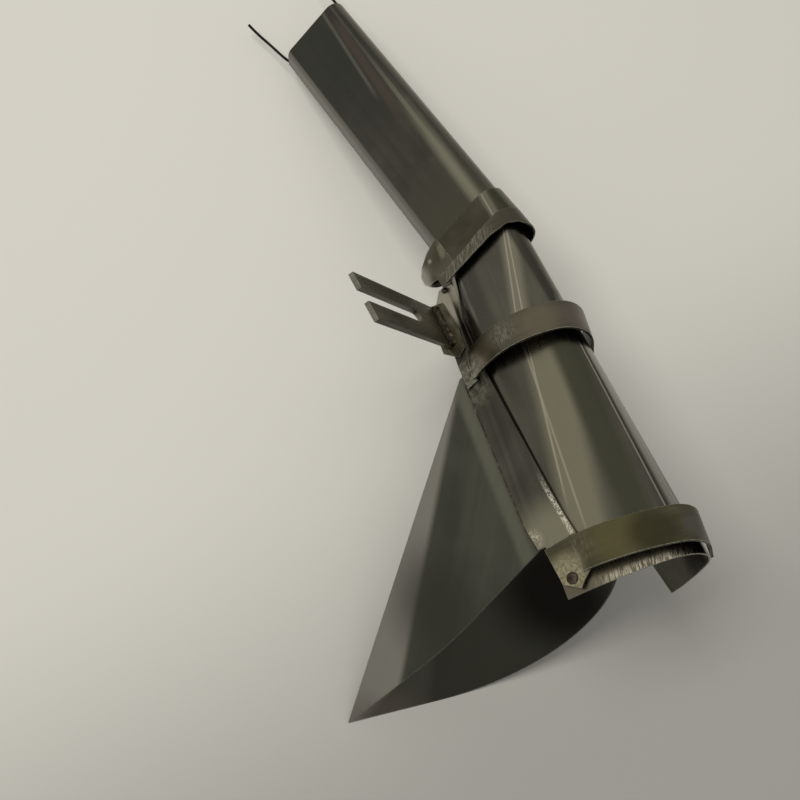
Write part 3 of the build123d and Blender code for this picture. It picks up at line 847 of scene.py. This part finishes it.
def lumpyWeld(node, shape):
    made = addObject(node.replace("_weld", "") + "_bead", nodes[node].data.copy())
    remesh = made.modifiers.new("fill", "REMESH")
    remesh.mode = "VOXEL"
    remesh.voxel_size = shape["voxel"] * mm
    ripple = bpy.data.textures.new(node + "Ripple", "CLOUDS")
    ripple.noise_scale = shape["size"] * mm
    ripple.noise_depth = 2
    push = made.modifiers.new("ripple", "DISPLACE")
    push.texture = ripple
    push.texture_coords = "LOCAL"
    push.strength = shape["lift"] * mm
    push.mid_level = 0.5
    soften = made.modifiers.new("soften", "SMOOTH")
    soften.factor = 0.5
    soften.iterations = 2
    bpy.context.view_layer.update()
    done = shapedMesh(made)
    for face in done.polygons:
        face.use_smooth = True
    done.materials.clear()
    done.materials.append(weldSteel)
    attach(made, "root")
    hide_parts(node)


for node, shape in weldShapes.items():
    lumpyWeld(node, shape)
print("welds done")

# the part lies on its back, so the table is tilted against the part's own axes
tableUp = Vector((-0.4170, -0.8549, 0.3090)).normalized()
viewRight = Vector((-0.6915, 0.5190, 0.5026)).normalized()
viewUp = Vector((-0.6533, -0.1524, -0.7416)).normalized()
viewAhead = Vector((0.3083, 0.8412, -0.4445)).normalized()
aim = Vector((0.06, 0.0, 0.28))  # the middle of the part
table = {
    "drop": 27.4 * mm,
    "middle": Vector((0.03, 0, 0.24)),
    "half": 2.2,
    "lit": (0.66, 0.65, 0.61, 1),
    "shaded": (0.39, 0.385, 0.362, 1),
    "shadeWay": (viewRight * 0.45 - viewUp * 0.89).normalized(),
    "shadeRange": (-0.03, 0.28),  # from the part's middle, along shadeWay
}


def twoFaces(tree, share, first, second, out):
    made = addNode(tree, "ShaderNodeMixShader")
    tree.links.new(share, made.inputs[0])
    tree.links.new(first.outputs[0], made.inputs[1])
    tree.links.new(second.outputs[0], made.inputs[2])
    tree.links.new(made.outputs[0], out.inputs[0])


floorMesh = bpy.data.meshes.new("tableTop")
shaper = bmesh.new()
bmesh.ops.create_grid(shaper, x_segments=2, y_segments=2, size=table["half"])
shaper.to_mesh(floorMesh)
shaper.free()
tableTop = addObject("tableTop", floorMesh)
tableMiddle = table["middle"] - tableUp * (table["drop"] + tableUp.dot(table["middle"]))
tableTurn = tableUp.to_track_quat("Z", "Y").to_matrix().to_4x4()
tableTop.matrix_world = Matrix.Translation(tableMiddle) @ tableTurn
paper = bpy.data.materials.new("tablePaper")
tree = emptyTree(paper)
paperFace = addNode(tree, "ShaderNodeBsdfDiffuse")
paperPlace = addNode(tree, "ShaderNodeNewGeometry")
# paper lies in the shade on the side away from the lamps
shadeLow, shadeHigh = [table["shadeWay"].dot(aim) + reach for reach in table["shadeRange"]]
shadeLevel = along(tree, paperPlace.outputs["Position"], table["shadeWay"])
shadeShare = ease(tree, shadeLevel, shadeLow, shadeHigh)
paperColour = blendColour(tree, shadeShare, table["lit"], table["shaded"])
tree.links.new(paperColour, paperFace.inputs["Color"])
twoFaces(tree, paperPlace.outputs["Backfacing"], paperFace,
         addNode(tree, "ShaderNodeBsdfTransparent"), addNode(tree, "ShaderNodeOutputMaterial"))
floorMesh.materials.append(paper)

# what the metal mirrors is a little brighter overhead, on the side where the lamps hang
room = {
    "brightWay": (tableUp * 0.8 - viewRight * 0.45 + viewUp * 0.4).normalized(),
    "brightRange": (0.1, 0.95),
    "plain": (0.50, 0.49, 0.46, 1),
    "bright": (0.70, 0.68, 0.63, 1),
    "light": (1.0, 0.98, 0.94, 1),
    "strength": 0.42,
}
world = bpy.data.worlds.new("room")
bpy.context.scene.world = world
tree = emptyTree(world)
seen = addNode(tree, "ShaderNodeBackground")
roomPlace = addNode(tree, "ShaderNodeTexCoord").outputs["Generated"]
glow = ease(tree, along(tree, roomPlace, room["brightWay"]), *room["brightRange"])
tree.links.new(blendColour(tree, glow, room["plain"], room["bright"]), seen.inputs["Color"])
light = addNode(tree, "ShaderNodeBackground")
light.inputs["Color"].default_value = room["light"]
light.inputs["Strength"].default_value = room["strength"]
path = addNode(tree, "ShaderNodeLightPath")
mirrored = calc(tree, "MAXIMUM", path.outputs["Is Glossy Ray"], path.outputs["Is Transmission Ray"])
shown = calc(tree, "MAXIMUM", path.outputs["Is Camera Ray"], mirrored)
twoFaces(tree, shown, light, seen, addNode(tree, "ShaderNodeOutputWorld"))

# across, up and over are the view's right and top, laid in the table, and the way out of it
lamps = {
    "colour": (1.0, 0.97, 0.91),
    "places": {
        "ceilingLeft": {"across": -0.55, "up": 0.3, "over": 1.6, "size": (0.9, 0.6), "power": 17.0},
        "ceilingRight": {"across": 0.45, "up": 0.35, "over": 1.2, "size": (0.8, 0.5), "power": 1.2},
    },
}
tableX = (viewRight - tableUp * viewRight.dot(tableUp)).normalized()
tableY = tableUp.cross(tableX)
for name, place in lamps["places"].items():
    data = bpy.data.lights.new(name, "AREA")
    data.shape = "RECTANGLE"
    data.size, data.size_y = place["size"]
    data.energy = place["power"]
    data.color = lamps["colour"]
    lamp = addObject(name, data)
    lamp.visible_glossy = False
    lamp.location = (aim + tableX * place["across"] + tableY * place["up"]
                     + tableUp * place["over"])
    lamp.rotation_mode = "QUATERNION"
    lamp.rotation_quaternion = (aim - lamp.location).to_track_quat("-Z", "Y")

eyeLook = {"place": (-93.8, -541.9, 553.7), "lens": 45, "film": 36, "nearest": 0.01}
eye = bpy.data.cameras.new("eye")
eye.sensor_width = eyeLook["film"]
eye.lens = eyeLook["lens"]
eye.clip_start = eyeLook["nearest"]
camera = addObject("eye", eye)
eyeTurn = Matrix((viewRight, viewUp, -viewAhead)).transposed().to_4x4()
camera.matrix_world = Matrix.Translation(Vector(eyeLook["place"]) * mm) @ eyeTurn
bpy.context.scene.camera = camera
bpy.context.scene.view_settings.view_transform = "Standard"
print("table, lamps and camera done")
